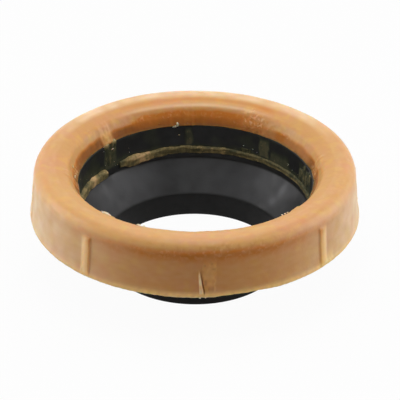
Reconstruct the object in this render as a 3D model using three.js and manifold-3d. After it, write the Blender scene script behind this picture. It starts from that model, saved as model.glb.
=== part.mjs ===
import * as THREE from 'three';
import { mergeVertices } from 'three/addons/utils/BufferGeometryUtils.js';
import Module from 'manifold-3d';

const wasm = await Module();
wasm.setup();

// Toilet pan seal: a cast wax ring round a black plastic horn.
// Millimetres and degrees, +Z up, origin at the middle of the horn's bottom rim.
// Azimuths run from the front (-Y) towards +X.

// Wax ring, heights above its flat underside
const waxRadius = 68.5;
const waxHeight = 23.5;
const crownRadius = 61.9;
const shoulderRadius = 66.7;
const shoulderHeight = 17.0;
const footHeight = 3.4;
const footProud = 0.7;
const footBevel = 2.0;
const footRound = 0.8;
const lipHeight = 14.6;
const lipRecess = 0.6;

// Horn, heights above or drops below the same underside
const hornDrop = 23.5;
const hornWall = 1.3;
const collarRadius = 48.4;
const collarHeight = 13.5;
const coneTopDrop = 1.9;
const coneBottomDrop = 14.4;
const neckTopRadius = 37.5;
const neckBottomRadius = 35.5;

// Flange of the horn, cast into the wax
const flangeRadius = 57.0;
const flangeHeight = 5.0;
const flangeThickness = 1.8;

// Wax squeezed past the collar: a bead at its foot, smears down its face
const beadBottom = 0.0;
const beadHeight = 3.7;
const beadProud = 1.4;
const smearThickness = 0.7;
const smearRoot = 1.2;
const smearMarks = [
  { azimuth: -176.5, width: 4.5, bottom: 2.0 },
  { azimuth: -129.6, width: 8.5, bottom: 5.2 },
  { azimuth: -82.0, width: 6.0, bottom: 2.0 },
  { azimuth: -39.5, width: 7.0, bottom: 2.0 },
  { azimuth: 4.0, width: 7.0, bottom: 2.0 },
  { azimuth: 48.7, width: 7.0, bottom: 2.0 },
  { azimuth: 96.0, width: 6.0, bottom: 2.0 },
  { azimuth: 142.3, width: 6.5, bottom: 2.0 },
];
const beadBreak = { azimuth: -132.0, width: 8.5 };

// Mould marks on the outer wall: upright ribs and one low flake
const ribTop = 18.2;
const ribFade = 1.4;
const ribProud = 0.9;
const ribWidth = 4.7;
const ribAzimuths = [-176.5, -129.6, -82.0, -39.5, 48.7, 96.0, 142.3];
const flake = { azimuth: 5.0, width: 5.3, top: 14.0, proud: 0.35 };

// Split in the wall at the front, open at the underside. Its outline is carried
// down by the overrun, where it has its width and its lean.
const split = { azimuth: 1.9, height: 12.5, width: 1.5, depth: 1.3, lean: 1.9, overrun: 3.0 };

// Clearance between the wax and the horn, and the smoothness of the curves
const fitGap = 0.3;
const turnSteps = 72;
const outerArcSteps = 8;
const innerArcSteps = 8;
const beadArcSteps = 6;

// Upright stretch of wall that a rib or smear is cut from reaches this far past it
const reach = 10;

function toSolid(geometry) {
  const bare = geometry.clone();
  bare.deleteAttribute('normal');
  bare.deleteAttribute('uv');
  const merged = mergeVertices(bare, 1e-4);
  return new wasm.Manifold(new wasm.Mesh({
    numProp: 3,
    vertProperties: new Float32Array(merged.attributes.position.array),
    triVerts: new Uint32Array(merged.index.array),
  }));
}

function toGeometry(solid) {
  const { vertProperties, triVerts } = solid.getMesh();
  const geometry = new THREE.BufferGeometry();
  geometry.setAttribute('position', new THREE.BufferAttribute(vertProperties, 3));
  geometry.setIndex(new THREE.BufferAttribute(triVerts, 1));
  geometry.computeVertexNormals();
  return geometry;
}

// Turns a closed outline of (radius, height) points round the upright axis.
function turned(points) {
  const outline = [...points, points[0]].map(([radius, height]) => new THREE.Vector2(radius, height));
  return toSolid(new THREE.LatheGeometry(outline, turnSteps).rotateX(Math.PI / 2));
}

// Quarter of an ellipse from one angle to another, as (radius, height) points.
function ellipsePoints(centre, semiAxes, fromDegrees, toDegrees, steps) {
  return Array.from({ length: steps + 1 }, (_, step) => {
    const angle = THREE.MathUtils.degToRad(fromDegrees + (toDegrees - fromDegrees) * step / steps);
    return [centre[0] + semiAxes[0] * Math.cos(angle), centre[1] + semiAxes[1] * Math.sin(angle)];
  });
}

// Upright block that spans a stretch of the ring's wall at one azimuth.
function radialBlock(azimuth, width, innerRadius, outerRadius, bottom, top) {
  const block = new THREE.BoxGeometry(width, outerRadius - innerRadius, top - bottom);
  block.translate(0, -(innerRadius + outerRadius) / 2, (bottom + top) / 2);
  block.rotateZ(THREE.MathUtils.degToRad(azimuth));
  return toSolid(block);
}

function joined(solids) {
  return solids.reduce((whole, solid) => whole.add(solid));
}

const wallFootRadius = waxRadius - footProud;
const wallFootHeight = footHeight + footBevel;
const lipRadius = collarRadius + lipRecess;

// Outer wall: straight, with a little draft, up to the shoulder, which is a quarter
// ellipse to the top of the crown.
function wallPoints() {
  const semiAxes = [shoulderRadius - crownRadius, waxHeight - shoulderHeight];
  return [
    [wallFootRadius, wallFootHeight],
    ...ellipsePoints([crownRadius, shoulderHeight], semiAxes, 0, 90, outerArcSteps),
  ];
}

function wallRadiusAt(height) {
  if (height <= wallFootHeight) return wallFootRadius;
  if (height <= shoulderHeight) {
    const share = (height - wallFootHeight) / (shoulderHeight - wallFootHeight);
    return wallFootRadius + (shoulderRadius - wallFootRadius) * share;
  }
  const share = (height - shoulderHeight) / (waxHeight - shoulderHeight);
  return crownRadius + (shoulderRadius - crownRadius) * Math.sqrt(1 - share * share);
}

function crownPoints() {
  const semiAxes = [crownRadius - lipRadius, waxHeight - lipHeight];
  return ellipsePoints([crownRadius, lipHeight], semiAxes, 90, 180, innerArcSteps).slice(1);
}

// Section of the ring: the underside, the foot, the wall and crown, then the
// bore, which steps round the top of the collar and the flange behind it.
function ringBody() {
  const seatRadius = collarRadius + hornWall + fitGap;
  const grooveRadius = flangeRadius + fitGap;
  const grooveTop = flangeHeight + flangeThickness + fitGap;
  const grooveBottom = flangeHeight - fitGap;
  const shelfHeight = collarHeight + fitGap;
  return turned([
    [waxRadius - footRound, 0],
    [waxRadius, footRound],
    [waxRadius, footHeight],
    ...wallPoints(),
    ...crownPoints(),
    [lipRadius, shelfHeight],
    [seatRadius, shelfHeight],
    [seatRadius, grooveTop],
    [grooveRadius, grooveTop],
    [grooveRadius, grooveBottom],
    [seatRadius, grooveBottom],
    [seatRadius, 0],
  ]);
}

// Layer over the outer wall, kept only where a mark stands.
function wallLayer(proud, top) {
  const corners = [footRound, wallFootHeight, shoulderHeight].filter((height) => height < top);
  return turned([
    [crownRadius, footRound],
    ...[...corners, top].map((height) => [Math.min(waxRadius, wallRadiusAt(height) + proud), height]),
    [wallRadiusAt(top + ribFade) - proud, top + ribFade],
    [crownRadius, top + ribFade],
  ]);
}

function ribs() {
  const blocks = ribAzimuths.map((azimuth) => radialBlock(
    azimuth, ribWidth, crownRadius, waxRadius + reach, 0, waxHeight));
  return wallLayer(ribProud, ribTop).intersect(joined(blocks));
}

function frontFlake() {
  const block = radialBlock(flake.azimuth, flake.width, crownRadius, waxRadius + reach, 0, waxHeight);
  return wallLayer(flake.proud, flake.top).intersect(block);
}

// Bead of wax round the foot of the collar, flat against it and half round inwards.
function bead() {
  const back = collarRadius - fitGap;
  const middle = beadBottom + beadHeight / 2;
  const round = ellipsePoints([back, middle], [beadProud, beadHeight / 2], 90, 270, beadArcSteps);
  const gap = radialBlock(beadBreak.azimuth, beadBreak.width, collarRadius - reach,
    collarRadius, beadBottom - fitGap, beadBottom + beadHeight + fitGap);
  return turned(round).subtract(gap);
}

// Smear from inside the lip, over the collar's edge, down its face.
function smear({ azimuth, width, bottom }) {
  const back = collarRadius - fitGap;
  const face = back - smearThickness;
  const shelfHeight = collarHeight + fitGap;
  const layer = turned([
    [face, bottom],
    [back, bottom],
    [back, shelfHeight],
    [lipRadius + smearRoot, shelfHeight],
    [lipRadius + smearRoot, lipHeight + smearRoot],
    [lipRadius, lipHeight + smearRoot],
    [face, shelfHeight],
  ]);
  return layer.intersect(radialBlock(
    azimuth, width, collarRadius - reach, collarRadius + reach, 0, waxHeight));
}

// Wedge that widens downwards and leans to one side, cut a little way into the wall.
function frontSplit() {
  const outline = new THREE.Shape([
    new THREE.Vector2(0, split.height),
    new THREE.Vector2(split.lean, -split.overrun),
    new THREE.Vector2(split.lean + split.width, -split.overrun),
  ]);
  const wedge = new THREE.ExtrudeGeometry(outline, { depth: reach, bevelEnabled: false });
  wedge.rotateX(Math.PI / 2);
  wedge.translate(0, -(wallFootRadius - split.depth), 0);
  wedge.rotateZ(THREE.MathUtils.degToRad(split.azimuth));
  return toSolid(wedge);
}

// Points of a line set off sideways by a wall's thickness, with mitred corners.
function offsetLine(points, distance) {
  const line = points.map(([radius, height]) => new THREE.Vector2(radius, height));
  return line.map((point, index) => {
    const before = line[Math.max(index - 1, 0)];
    const after = line[Math.min(index + 1, line.length - 1)];
    const incoming = index === 0 ? after.clone().sub(point) : point.clone().sub(before);
    const outgoing = index === line.length - 1 ? incoming.clone() : after.clone().sub(point);
    const sideIn = new THREE.Vector2(-incoming.y, incoming.x).normalize();
    const sideOut = new THREE.Vector2(-outgoing.y, outgoing.x).normalize();
    const mitre = sideIn.clone().add(sideOut);
    const length = distance * 2 / mitre.lengthSq();
    return [point.x + mitre.x * length, point.y + mitre.y * length];
  });
}

// One wall from the rim up the neck, the cone and the collar, with the flange outside.
function hornBody() {
  const inside = [
    [neckBottomRadius, -hornDrop],
    [neckTopRadius, -coneBottomDrop],
    [collarRadius, -coneTopDrop],
    [collarRadius, collarHeight],
  ];
  const outside = offsetLine(inside, -hornWall);
  outside[0] = [neckBottomRadius + hornWall, -hornDrop];
  const collarOutside = collarRadius + hornWall;
  return turned([
    ...outside.slice(0, 3),
    [collarOutside, flangeHeight],
    [flangeRadius, flangeHeight],
    [flangeRadius, flangeHeight + flangeThickness],
    [collarOutside, flangeHeight + flangeThickness],
    [collarOutside, collarHeight],
    ...inside.reverse(),
  ]);
}

function waxRing() {
  return joined([ringBody(), ribs(), frontFlake(), bead(), ...smearMarks.map(smear)]).subtract(frontSplit());
}

function part(name, solid, material) {
  const mesh = new THREE.Mesh(toGeometry(solid), material);
  mesh.name = name;
  mesh.position.z = hornDrop;
  return mesh;
}

const amberWax = new THREE.MeshStandardMaterial({ color: 0xd9a574, roughness: 0.45, metalness: 0 });
const blackPlastic = new THREE.MeshStandardMaterial({ color: 0x1c1c1b, roughness: 0.4, metalness: 0 });

const seal = new THREE.Group();
seal.add(part('wax_ring', waxRing(), amberWax));
seal.add(part('horn', hornBody(), blackPlastic));

export default seal;
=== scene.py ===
import math
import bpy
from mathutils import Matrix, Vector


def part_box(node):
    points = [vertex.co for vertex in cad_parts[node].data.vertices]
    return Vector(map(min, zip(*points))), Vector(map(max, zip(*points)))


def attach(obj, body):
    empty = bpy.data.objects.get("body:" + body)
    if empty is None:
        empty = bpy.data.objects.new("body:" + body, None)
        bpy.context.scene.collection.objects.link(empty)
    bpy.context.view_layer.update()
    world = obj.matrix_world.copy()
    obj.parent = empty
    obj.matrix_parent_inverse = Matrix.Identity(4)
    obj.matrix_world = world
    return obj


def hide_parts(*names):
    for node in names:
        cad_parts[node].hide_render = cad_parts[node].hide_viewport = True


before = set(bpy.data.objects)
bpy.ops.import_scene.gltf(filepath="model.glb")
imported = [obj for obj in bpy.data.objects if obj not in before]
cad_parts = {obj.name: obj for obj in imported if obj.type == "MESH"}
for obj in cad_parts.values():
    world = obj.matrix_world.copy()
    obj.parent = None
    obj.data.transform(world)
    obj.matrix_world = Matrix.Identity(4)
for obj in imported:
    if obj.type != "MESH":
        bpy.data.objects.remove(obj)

from types import SimpleNamespace

import bmesh
import bpy
import numpy as np
from mathutils import Euler, Matrix, Vector, noise

# A cast wax ring round a black plastic horn. Shapes are worked out in millimetres,
# azimuths in degrees from the front (-Y) towards +X, heights from the wax underside.
mm = 0.001
scene = bpy.context.scene
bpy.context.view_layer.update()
ringLow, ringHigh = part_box("wax_ring")
waxBase = ringLow.z / mm
waxRadius = ringHigh.x / mm
waxHeight = (ringHigh.z - ringLow.z) / mm


# Small helpers

def smoothStep(x):
    x = np.clip(x, 0.0, 1.0)
    return x * x * (3.0 - 2.0 * x)


def window(x, low, high, softLow, softHigh):  # 1 between low and high, soft at both ends
    return smoothStep((x - low) / softLow) * smoothStep((high - x) / softHigh)


def bell(gap, spread):  # 1 at no gap, and almost nothing at twice the spread
    return np.exp(-(gap / spread) ** 2)


def azimuthGap(azimuth, centre):  # signed degrees from centre
    return (azimuth - centre + 180.0) % 360.0 - 180.0


def namedRows(names, rows):  # each row of values as a dictionary
    return [dict(zip(names.split(), row)) for row in rows]


def noiseAt(points, size, seed):  # soft noise from -1 to 1, with features of about that size
    offset = Vector((seed * 7.3, seed * 3.1, seed * 5.7))
    return np.array([noise.noise(Vector(p) / size + offset) for p in points.tolist()])


def arcPoints(centre, semiAxes, start, end, steps):
    angles = np.radians(np.linspace(start, end, steps + 1))
    return [(centre[0] + semiAxes[0] * math.cos(a), centre[1] + semiAxes[1] * math.sin(a)) for a in angles]


def linePoints(start, end, steps):  # leaves the last point to the next stretch
    return [(start[0] + (end[0] - start[0]) * i / steps, start[1] + (end[1] - start[1]) * i / steps)
            for i in range(steps)]


def bendPoints(corner, steps):  # a curve from the first point to the last one, drawn towards the middle one
    start, middle, end = corner
    shares = [(i + 1) / steps for i in range(steps)]
    return [tuple(start[k] * (1 - t) ** 2 + middle[k] * 2 * t * (1 - t) + end[k] * t ** 2 for k in (0, 1))
            for t in shares]


def readPoints(mesh):
    flat = np.empty(len(mesh.vertices) * 3)
    mesh.vertices.foreach_get("co", flat)
    return flat.reshape(-1, 3)


def readNormals(mesh):
    flat = np.empty(len(mesh.vertices) * 3)
    mesh.vertices.foreach_get("normal", flat)
    return flat.reshape(-1, 3)


def writePoints(mesh, points):
    mesh.vertices.foreach_set("co", np.asarray(points, dtype=float).ravel())
    mesh.update()


def toRing(points):  # metres to azimuth, radius and height above the wax underside
    x, y, z = (points / mm).T
    return np.degrees(np.arctan2(x, -y)), np.hypot(x, y), z - waxBase


def fromRing(azimuth, radius, height):
    angle = np.radians(azimuth)
    return np.stack([radius * np.sin(angle), -radius * np.cos(angle), height + waxBase], axis=1) * mm


# Geometry node trees

def nodeTree(name, inputs):
    tree = bpy.data.node_groups.new(name, "GeometryNodeTree")
    face = tree.interface
    face.new_socket("Geometry", in_out="INPUT", socket_type="NodeSocketGeometry")
    for label, kind, value in inputs:
        socket = face.new_socket(label, in_out="INPUT", socket_type=kind)
        if value is not None:
            socket.default_value = value
    face.new_socket("Geometry", in_out="OUTPUT", socket_type="NodeSocketGeometry")
    return tree


def addNode(tree, kind, links=None, **settings):
    node = tree.nodes.new(kind)
    for key, value in settings.items():
        setattr(node, key, value)
    for socket, source in (links or {}).items():
        target = node.inputs[socket]
        if isinstance(source, bpy.types.NodeSocket):
            tree.links.new(source, target)
        else:
            target.default_value = source
    return node


def mathNode(tree, operation, first, second=None, kind="ShaderNodeMath"):
    links = {0: first}
    if second is not None:
        links[1] = second
    return addNode(tree, kind, links, operation=operation).outputs[0]


def endTree(tree, geometry, material):
    shaded = addNode(tree, "GeometryNodeSetShadeSmooth", {"Geometry": geometry})
    real = addNode(tree, "GeometryNodeRealizeInstances", {"Geometry": shaded.outputs[0]})
    painted = addNode(tree, "GeometryNodeSetMaterial", {"Geometry": real.outputs[0], "Material": material})
    addNode(tree, "NodeGroupOutput", {"Geometry": painted.outputs[0]})


def turnedSectionTree():
    # Turns the object's own outline, whose X is a radius and Z a height, about the upright axis.
    tree = nodeTree("turnedSection", [
        ("Turn Steps", "NodeSocketInt", 360),
        ("Start Angle", "NodeSocketFloat", 0.0),
        ("Sweep Angle", "NodeSocketFloat", 2 * math.pi),
        ("Material", "NodeSocketMaterial", None),
    ])
    given = addNode(tree, "NodeGroupInput").outputs
    count = addNode(tree, "GeometryNodeAttributeDomainSize", {
        "Geometry": given["Geometry"]}).outputs["Point Count"]
    rows = mathNode(tree, "ADD", count, 1.0)
    columns = mathNode(tree, "ADD", given["Turn Steps"], 1.0)
    grid = addNode(tree, "GeometryNodeMeshGrid", {"Vertices X": rows, "Vertices Y": columns})
    index = addNode(tree, "GeometryNodeInputIndex").outputs[0]
    row = mathNode(tree, "FLOOR", mathNode(tree, "DIVIDE", index, columns))
    column = mathNode(tree, "SUBTRACT", index, mathNode(tree, "MULTIPLY", row, columns))
    outlineIndex = mathNode(tree, "MODULO", row, count)
    place = addNode(tree, "GeometryNodeInputPosition").outputs[0]
    sample = addNode(tree, "GeometryNodeSampleIndex", {
        "Geometry": given["Geometry"], "Index": outlineIndex}, data_type="FLOAT_VECTOR", domain="POINT")
    tree.links.new(place, sample.inputs["Value"])
    section = addNode(tree, "ShaderNodeSeparateXYZ", {0: sample.outputs[0]}).outputs
    share = mathNode(tree, "DIVIDE", column, given["Turn Steps"])
    swept = mathNode(tree, "MULTIPLY", share, given["Sweep Angle"])
    angle = mathNode(tree, "ADD", swept, given["Start Angle"])
    x = mathNode(tree, "MULTIPLY", section["X"], mathNode(tree, "SINE", angle))
    y = mathNode(tree, "MULTIPLY", section["X"], mathNode(tree, "COSINE", angle))
    minusY = mathNode(tree, "MULTIPLY", y, -1.0)
    turned = addNode(tree, "ShaderNodeCombineXYZ", {"X": x, "Y": minusY, "Z": section["Z"]}).outputs[0]
    moved = addNode(tree, "GeometryNodeSetPosition", {"Geometry": grid.outputs[0], "Position": turned})
    merged = addNode(tree, "GeometryNodeMergeByDistance", {"Geometry": moved.outputs[0], "Distance": 1e-6})
    endTree(tree, merged.outputs[0], given["Material"])
    return tree


def runNodes(piece, tree, **values):
    # Gives the modifier its values by socket identifier, then swaps the object's mesh for the result.
    modifier = piece.modifiers.new(tree.name, "NODES")
    modifier.node_group = tree
    sockets = {item.name.replace(" ", ""): item.identifier for item in tree.interface.items_tree
               if item.in_out == "INPUT"}
    for key, value in values.items():
        modifier[sockets[key[0].upper() + key[1:]]] = value
    bpy.context.view_layer.update()
    evaluated = piece.evaluated_get(bpy.context.evaluated_depsgraph_get())
    made = bpy.data.meshes.new_from_object(evaluated)
    piece.modifiers.remove(modifier)
    old = piece.data
    piece.data = made
    made.name = piece.name
    bpy.data.meshes.remove(old)


def faceOutwards(mesh):
    shape = bmesh.new()
    shape.from_mesh(mesh)
    openEdges = [edge for edge in shape.edges if edge.is_boundary]
    if openEdges:
        bmesh.ops.holes_fill(shape, edges=openEdges, sides=0)
    bmesh.ops.recalc_face_normals(shape, faces=shape.faces)
    shape.to_mesh(mesh)
    shape.free()
    mesh.update()


def addObject(name, data):
    added = bpy.data.objects.new(name, data)
    scene.collection.objects.link(added)
    return added


def turnedPiece(name, outline, material, steps, start=0.0, sweep=360.0):
    points = [(radius * mm, 0.0, (height + waxBase) * mm) for radius, height in outline]
    mesh = bpy.data.meshes.new(name)
    mesh.from_pydata(points, [], [])
    piece = addObject(name, mesh)
    runNodes(piece, turnedSection, turnSteps=steps, startAngle=math.radians(start),
             sweepAngle=math.radians(sweep), material=material)
    faceOutwards(piece.data)
    return piece


# Shader node groups, shared by the wax, the squeezed wax and the plastic

def shaderGroup(name, inputs, outputs):
    group = bpy.data.node_groups.new(name, "ShaderNodeTree")
    for label, kind, value in inputs:
        group.interface.new_socket(label, in_out="INPUT", socket_type=kind).default_value = value
    for label, kind in outputs:
        group.interface.new_socket(label, in_out="OUTPUT", socket_type=kind)
    return group


def colourMix(tree, share, first, second):  # 6, 7 and the third output are the node's colour sockets
    return addNode(tree, "ShaderNodeMix", {0: share, 6: first, 7: second}, data_type="RGBA").outputs[2]


def noiseNode(tree, place, scale, detail):
    return addNode(tree, "ShaderNodeTexNoise", {
        "Vector": place, "Scale": scale, "Detail": detail}).outputs["Fac"]


def rangeNode(tree, value, low=0.0, high=1.0, atLow=0.0, atHigh=1.0):
    return addNode(tree, "ShaderNodeMapRange", {
        "Value": value, "From Min": low, "From Max": high, "To Min": atLow, "To Max": atHigh}).outputs[0]


def mottleGroup():
    # Broad and small patches of two side colours over a main one.
    group = shaderGroup("mottle", [
        ("Main", "NodeSocketColor", (0.5, 0.5, 0.5, 1)),
        ("Warm", "NodeSocketColor", (0.6, 0.4, 0.4, 1)),
        ("Yellow", "NodeSocketColor", (0.6, 0.5, 0.3, 1)),
        ("Patch Scale", "NodeSocketFloat", 60.0),
        ("Spread", "NodeSocketFloat", 0.5),
    ], [("Color", "NodeSocketColor"), ("Mask", "NodeSocketFloat")])
    given = addNode(group, "NodeGroupInput").outputs
    place = addNode(group, "ShaderNodeTexCoord").outputs["Object"]
    broad = noiseNode(group, place, given["Patch Scale"], 3.0)
    small = noiseNode(group, place, mathNode(group, "MULTIPLY", given["Patch Scale"], 4.3), 4.0)
    warmShare = rangeNode(group, broad, 0.45, 0.7, atHigh=given["Spread"])
    yellowShare = rangeNode(group, small, 0.5, 0.72, atHigh=given["Spread"])
    warmed = colourMix(group, warmShare, given["Main"], given["Warm"])
    mixed = colourMix(group, yellowShare, warmed, given["Yellow"])
    addNode(group, "NodeGroupOutput", {"Color": mixed, "Mask": small})
    return group


def grainGroup():
    # Fine surface height: soft pitting with finer grain on top.
    group = shaderGroup("grain", [
        ("Scale", "NodeSocketFloat", 400.0),
        ("Fine Share", "NodeSocketFloat", 0.35),
    ], [("Height", "NodeSocketFloat")])
    given = addNode(group, "NodeGroupInput").outputs
    place = addNode(group, "ShaderNodeTexCoord").outputs["Object"]
    coarse = noiseNode(group, place, given["Scale"], 3.0)
    fine = noiseNode(group, place, mathNode(group, "MULTIPLY", given["Scale"], 4.0), 2.0)
    height = mathNode(group, "ADD", coarse, mathNode(group, "MULTIPLY", fine, given["Fine Share"]))
    addNode(group, "NodeGroupOutput", {"Height": height})
    return group


def tornGroup():
    # Torn wax, where its share is high: pale raised grains over darker pits.
    group = shaderGroup("tornGrains", [
        ("Share", "NodeSocketFloat", 0.0),
        ("Scale", "NodeSocketFloat", 900.0),
        ("Depth", "NodeSocketFloat", 4.0),
    ], [("Height", "NodeSocketFloat"), ("Pale", "NodeSocketFloat")])
    given = addNode(group, "NodeGroupInput").outputs
    place = addNode(group, "ShaderNodeTexCoord").outputs["Object"]
    lumps = noiseNode(group, place, given["Scale"], 2.0)
    crests = rangeNode(group, lumps, 0.53, 0.66)
    raised = mathNode(group, "MULTIPLY", mathNode(group, "MULTIPLY", lumps, given["Depth"]), given["Share"])
    pale = mathNode(group, "MULTIPLY", crests, given["Share"])
    addNode(group, "NodeGroupOutput", {"Height": raised, "Pale": pale})
    return group


def newMaterial(name):
    material = bpy.data.materials.new(name)
    material.use_nodes = True
    material.node_tree.nodes.clear()
    return material, material.node_tree


def roughFrom(tree, mask, look):  # between the look's two values, by the mask of its patches
    return rangeNode(tree, mask, 0.3, 0.7, look["roughLow"], look["roughHigh"])


def bumpFrom(tree, height, look):
    return addNode(tree, "ShaderNodeBump", {
        "Height": height, "Distance": look["grainDepth"], "Strength": 1.0}).outputs[0]


def finishMaterial(tree, inputs, **settings):
    shader = addNode(tree, "ShaderNodeBsdfPrincipled", inputs, **settings)
    addNode(tree, "ShaderNodeOutputMaterial", {"Surface": shader.outputs[0]})


def placeGroup(tree, group, links):
    return addNode(tree, "ShaderNodeGroup", links, node_tree=group).outputs


waxLook = {
    "main": (0.58, 0.30, 0.092, 1),
    "warm": (0.60, 0.275, 0.125, 1),
    "yellow": (0.62, 0.35, 0.090, 1),
    "amber": (0.60, 0.190, 0.010, 1),    # painted shade on the upper part of the inside, in the crease and on the front wall
    "deep": (0.235, 0.074, 0.006, 1),    # painted shade just above the lip
    "gold": (0.90, 0.57, 0.160, 1),      # thin wax on the ribs and the foot, partly painted light at the foot and on the front shoulder
    "pale": (0.86, 0.68, 0.46, 1),       # painted sheen on the sides and the crown at the back, painted highlights on the bend and the rib crests, and paler edges
    "grains": (0.88, 0.58, 0.30, 1),     # where the wax is torn
    "patchScale": 55.0,
    "spread": 0.9,
    "roughLow": 0.36,
    "roughHigh": 0.50,
    "dull": 0.38,            # how much rougher the amber and deep layers are
    "shine": 0.40,
    "ior": 1.5,
    "glow": 0.75,            # light that goes into the wax and comes out near by
    "glowRadius": (1.0, 0.45, 0.20),
    "glowScale": 0.0045,
    "sheen": 0.45,
    "sheenTint": (1.0, 0.80, 0.58, 1),
    "sheenRough": 0.20,
    "grainScale": 420.0,
    "grainDepth": 0.00006,
    "fineShare": 0.3,
    "tornScale": 680.0,
    "tornDepth": 4.5,        # times the depth of the grain
    "tornPale": 0.60,
}
crumbLook = dict(
    waxLook, main=(0.82, 0.62, 0.42, 1), warm=(0.74, 0.50, 0.28, 1), yellow=(0.84, 0.72, 0.54, 1),
    patchScale=500.0, spread=1.0, roughLow=0.25, roughHigh=0.4, glowScale=0.002)
waxLayers = {"waxGold": "gold", "waxAmber": "amber", "waxDeep": "deep", "waxPale": "pale"}


def layerShare(tree, name):
    return addNode(tree, "ShaderNodeAttribute", attribute_name=name).outputs["Fac"]


def layerMix(tree, name, under, over):  # lays a colour over another where the painted layer says
    return colourMix(tree, layerShare(tree, name), under, over)


def waxMaterial(name, look):
    material, tree = newMaterial(name)
    patches = placeGroup(tree, mottle, {
        "Main": look["main"], "Warm": look["warm"], "Yellow": look["yellow"],
        "Patch Scale": look["patchScale"], "Spread": look["spread"]})
    colour = patches["Color"]
    for layer, shade in waxLayers.items():
        colour = layerMix(tree, layer, colour, look[shade])
    torn = placeGroup(tree, tornGrains, {
        "Share": layerShare(tree, "waxTorn"), "Scale": look["tornScale"], "Depth": look["tornDepth"]})
    crests = mathNode(tree, "MULTIPLY", torn["Pale"], look["tornPale"])
    colour = colourMix(tree, crests, colour, look["grains"])
    covered = mathNode(tree, "MAXIMUM", layerShare(tree, "waxAmber"), layerShare(tree, "waxDeep"))
    dulled = mathNode(tree, "ADD", roughFrom(tree, patches["Mask"], look),
                      mathNode(tree, "MULTIPLY", covered, look["dull"]))
    skin = placeGroup(tree, grain, {"Scale": look["grainScale"], "Fine Share": look["fineShare"]})
    height = mathNode(tree, "ADD", skin["Height"], torn["Height"])
    finishMaterial(tree, {
        "Base Color": colour, "Roughness": dulled, "Normal": bumpFrom(tree, height, look),
        "Subsurface Weight": look["glow"], "Subsurface Radius": look["glowRadius"],
        "Subsurface Scale": look["glowScale"], "Specular IOR Level": look["shine"], "IOR": look["ior"],
        "Sheen Weight": look["sheen"], "Sheen Tint": look["sheenTint"],
        "Sheen Roughness": look["sheenRough"]}, subsurface_method="RANDOM_WALK")
    return material


smearColours = [  # what smeared wax looks like over the black, from nothing to thick
    (0.00, (0.0050, 0.0050, 0.0048, 1)),
    (0.25, (0.018, 0.022, 0.009, 1)),
    (0.48, (0.050, 0.052, 0.025, 1)),
    (0.68, (0.135, 0.112, 0.048, 1)),
    (0.84, (0.270, 0.203, 0.082, 1)),
    (1.00, (0.560, 0.365, 0.170, 1)),
]
smearGrain = {"streakScale": 900.0, "streakLength": 4.0, "patchScale": 270.0,
              "speckScale": 1500.0, "speckLow": 0.62, "speckHigh": 0.74}


def smearGroup():
    # Colour of smeared wax from its amount, broken up by streaks and specks.
    group = shaderGroup("smearedWax", [
        ("Amount", "NodeSocketFloat", 0.5),
        ("Break Up", "NodeSocketFloat", 0.3),
        ("Specks", "NodeSocketFloat", 0.3),
    ], [("Color", "NodeSocketColor")])
    given = addNode(group, "NodeGroupInput").outputs
    place = addNode(group, "ShaderNodeTexCoord").outputs["Object"]
    stretched = addNode(group, "ShaderNodeVectorMath", {
        0: place, 1: (1.0, 1.0, 1.0 / smearGrain["streakLength"])}, operation="MULTIPLY").outputs[0]
    streaks = noiseNode(group, stretched, smearGrain["streakScale"], 3.0)
    patches = noiseNode(group, place, smearGrain["patchScale"], 4.0)
    centred = mathNode(group, "SUBTRACT", mathNode(group, "ADD", streaks, patches), 1.0)
    broken = mathNode(group, "MULTIPLY", centred, mathNode(group, "MULTIPLY", given["Break Up"], 2.0))
    fine = noiseNode(group, place, smearGrain["speckScale"], 1.0)
    specks = rangeNode(group, fine, smearGrain["speckLow"], smearGrain["speckHigh"])
    reach = mathNode(group, "MINIMUM", mathNode(group, "MULTIPLY", given["Amount"], 3.0), 1.0)
    added = mathNode(group, "ADD", broken, mathNode(group, "MULTIPLY", specks, given["Specks"]))
    amount = mathNode(group, "ADD", given["Amount"], mathNode(group, "MULTIPLY", added, reach))
    ramp = addNode(group, "ShaderNodeValToRGB", {"Fac": amount})
    stops = ramp.color_ramp.elements
    stops[0].color = smearColours[0][1]
    stops[1].color = smearColours[-1][1]
    for position, colour in smearColours[1:-1]:
        stops.new(position).color = colour
    addNode(group, "NodeGroupOutput", {"Color": ramp.outputs["Color"]})
    return group


squeezedLook = {"breakUp": 0.20, "specks": 0.18, "rough": 0.60, "shine": 0.20,
                "grainScale": 600.0, "grainDepth": 0.00008, "fineShare": 0.4}


def squeezedMaterial():
    # Thin smeared wax lets the black through, and thick wax looks golden.
    material, tree = newMaterial("squeezedWax")
    look = squeezedLook
    smeared = placeGroup(tree, smear, {
        "Amount": layerShare(tree, "waxBody"), "Break Up": look["breakUp"], "Specks": look["specks"]})
    skin = placeGroup(tree, grain, {"Scale": look["grainScale"], "Fine Share": look["fineShare"]})
    finishMaterial(tree, {
        "Base Color": smeared["Color"], "Normal": bumpFrom(tree, skin["Height"], look),
        "Roughness": look["rough"], "Specular IOR Level": look["shine"]})
    return material


plasticLook = {
    "black": (0.0050, 0.0050, 0.0048, 1),
    "haze": (0.014, 0.015, 0.016, 1),
    # paler grey of the cone's smudges and of its painted sheen
    "scuffed": (0.085, 0.086, 0.091, 1),
    "breakUp": 0.17,         # of the film of wax on it
    "specks": 0.14,
    "filmStart": 0.12,       # how much film it takes to cover the plastic's own colour
    "roughLow": 0.40,
    "roughHigh": 0.58,
    "shine": 0.36,
    "patchScale": 45.0,
    "spread": 0.8,
    "grainScale": 900.0,
    "grainDepth": 0.00003,
    "fineShare": 0.3,
}


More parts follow.
